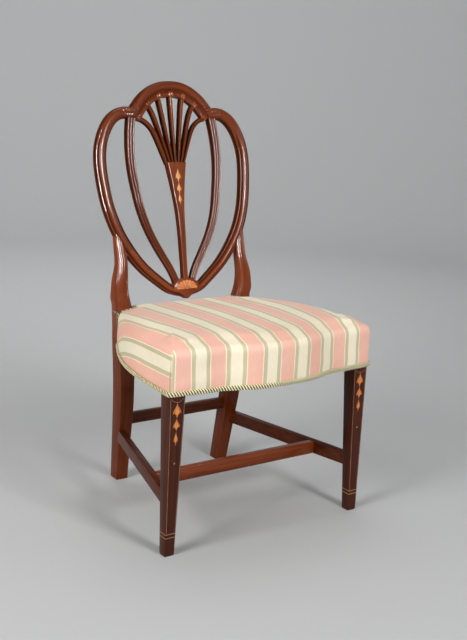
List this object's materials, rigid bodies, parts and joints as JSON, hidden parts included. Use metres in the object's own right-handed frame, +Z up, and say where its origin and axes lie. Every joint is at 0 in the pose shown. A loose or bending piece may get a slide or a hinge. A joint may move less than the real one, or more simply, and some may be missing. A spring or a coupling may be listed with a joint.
{
  "type": "shield back chair",
  "caption": "Wooden dining chair with a shield-shaped pierced back, tapered inlaid front legs, stretchers below and a stuffed, bow-fronted, striped seat.",
  "frame": {"origin": "on the floor, under the middle of the bounding box", "axes": "+Z up, the chair faces -Y, +X is to the right as seen from the front"},
  "size_m": [0.5466, 0.5556, 0.9693],
  "materials": {
    "mahogany": "polished, semi-gloss",
    "dark_mahogany": "polished, darker front legs",
    "beech": "unpolished",
    "satinwood": "polished inlay",
    "boxwood": "polished inlay line",
    "linen": "coarse undyed weave",
    "horsehair": "matted curled hair",
    "striped_silk": "slightly shiny weave in pink, cream and sage stripes",
    "trim_cord": "twisted cord in cream and sage"
  },
  "bodies": {
    "root": {"rib_right": "mahogany", "rib_left": "mahogany", "splat": "mahogany", "splat_husk_top": "satinwood", "splat_husk_middle": "satinwood", "splat_husk_bottom": "satinwood", "crest_rail": "mahogany", "rear_post_right": "mahogany", "rear_post_left": "mahogany", "lower_shield_rail": "mahogany", "fan_inlay": "satinwood", "front_rail": "beech", "rear_rail": "beech", "side_rail_right": "beech", "side_rail_left": "beech", "side_stretcher_right": "mahogany", "side_stretcher_left": "mahogany", "medial_stretcher": "mahogany", "rear_stretcher": "mahogany", "front_leg_right": "dark_mahogany", "front_leg_left": "dark_mahogany", "leg_dot_right": "boxwood", "leg_dot_left": "boxwood", "leg_string_outer_right": "boxwood", "leg_string_outer_left": "boxwood", "leg_string_inner_right": "boxwood", "leg_string_inner_left": "boxwood", "leg_husk_top_right": "satinwood", "leg_husk_top_left": "satinwood", "leg_husk_middle_right": "satinwood", "leg_husk_middle_left": "satinwood", "leg_husk_bottom_right": "satinwood", "leg_husk_bottom_left": "satinwood", "leg_cuff_lower_right": "boxwood", "leg_cuff_lower_left": "boxwood", "leg_cuff_upper_right": "boxwood", "leg_cuff_upper_left": "boxwood", "front_corner_block_right": "beech", "front_corner_block_left": "beech", "rear_corner_block_right": "beech", "rear_corner_block_left": "beech", "webbing_length_1": "linen", "webbing_length_2": "linen", "webbing_length_3": "linen", "webbing_cross_1": "linen", "webbing_cross_2": "linen", "webbing_cross_3": "linen", "hessian": "linen", "stuffing": "horsehair", "seat_cover": "striped_silk", "trim_cord": "trim_cord"}
  },
  "joints": []
}
